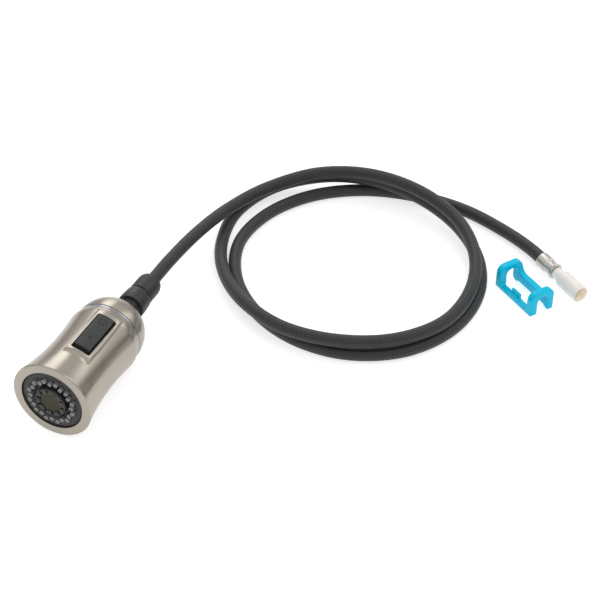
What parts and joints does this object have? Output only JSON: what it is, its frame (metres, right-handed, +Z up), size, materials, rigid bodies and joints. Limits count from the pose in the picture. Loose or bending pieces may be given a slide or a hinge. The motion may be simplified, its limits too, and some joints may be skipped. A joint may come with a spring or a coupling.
{
  "type": "pull-out handheld sprayer",
  "caption": "Bell-shaped handheld spray head with a rocker diverter, rotary swivel, long braided hose, push-fit quick connector and loose lock clip.",
  "frame": {"origin": "on the table that the parts lie on, under the middle of the box around the spray head, its swivel and the lock clip, leaving out the hose and what is on it", "axes": "+Z up from the table; the spray head's axis lies along Y with its spray face towards -Y, tipped up 2 degrees; the hose loops towards +Y and the connector lies towards +X"},
  "size_m": [0.3091, 0.3383, 0.0576],
  "materials": {
    "brushed_nickel": "fine turned brushing, warm satin",
    "polished_trim": "polished",
    "black_plastic": "moulded, lightly textured",
    "rocker_plastic": "moulded, satin",
    "grey_plastic": "moulded",
    "grey_silicone": "moulded, slightly translucent",
    "black_rubber": "moulded",
    "stainless_steel": "drawn and polished",
    "steel_mesh": "fine woven wire",
    "brass": "turned",
    "hose_braid": "tight nylon braid with light tracer threads",
    "white_plastic": "moulded, soft gloss",
    "blue_plastic": "moulded, soft gloss"
  },
  "bodies": {
    "hose_line": {"hose": "hose_braid", "head_ferrule": "stainless_steel", "swivel_stem": "brass", "stem_seal_1": "black_rubber", "stem_seal_2": "black_rubber", "swivel_sleeve": "black_plastic", "tail_ferrule": "stainless_steel", "tail_stem": "stainless_steel"},
    "rocker": {"rocker_button": "rocker_plastic"},
    "diverter": {"diverter_spool": "grey_plastic", "spool_seal_front": "black_rubber", "spool_seal_rear": "black_rubber"},
    "quick_connector": {"connector_body": "white_plastic", "connector_seal": "black_rubber"},
    "clip": {"lock_clip": "blue_plastic"},
    "spray_head": {"bell_shell": "brushed_nickel", "rear_collar": "brushed_nickel", "trim_ring": "polished_trim", "rear_carrier": "black_plastic", "valve_body": "grey_plastic", "spool_plug": "grey_plastic", "check_valve": "grey_silicone", "inlet_screen": "steel_mesh", "inlet_washer": "black_rubber", "rocker_cradle": "black_plastic", "rocker_pin": "stainless_steel", "button_liner": "black_rubber", "front_carrier": "black_plastic", "carrier_screw_1": "stainless_steel", "carrier_screw_2": "stainless_steel", "carrier_screw_3": "stainless_steel", "flow_plate": "black_plastic", "nozzle_mat": "grey_silicone", "face_plate": "black_plastic", "aerator_housing": "black_plastic", "aerator_screen": "steel_mesh", "aerator_core": "black_plastic", "aerator_seal": "black_rubber", "swivel_nut": "black_plastic", "swivel_retainer": "stainless_steel"}
  },
  "joints": [
    {"name": "swivel_spin", "type": "hinge", "parent": "hose_line", "child": "spray_head", "pos_m": [-0.1155, -0.01767, 0.02473], "axis": [0, 0.9994, -0.0343], "continuous": true},
    {"name": "rocker_tilt", "type": "hinge", "parent": "spray_head", "child": "rocker", "pos_m": [-0.10895, -0.09124, 0.04869], "axis": [0.9563, -0.01, -0.2922], "range_deg": [0, 6]},
    {"name": "diverter_slide", "type": "slide", "parent": "spray_head", "child": "diverter", "axis": [0, 0.9994, -0.0343], "range_m": [0, 0.0013]},
    {"name": "connector_spin", "type": "hinge", "parent": "hose_line", "child": "quick_connector", "pos_m": [0.16118, 0.13128, 0.0064], "axis": [0.8111, -0.585, 0], "continuous": true},
    {"name": "clip_lift", "type": "slide", "parent": "hose_line", "child": "clip", "axis": [0, 0, 1], "range_m": [0, 0.12]}
  ],
  "couplings": [
    {"joint": "diverter_slide", "follows": "rocker_tilt", "m_per_rad": 0.0109}
  ]
}
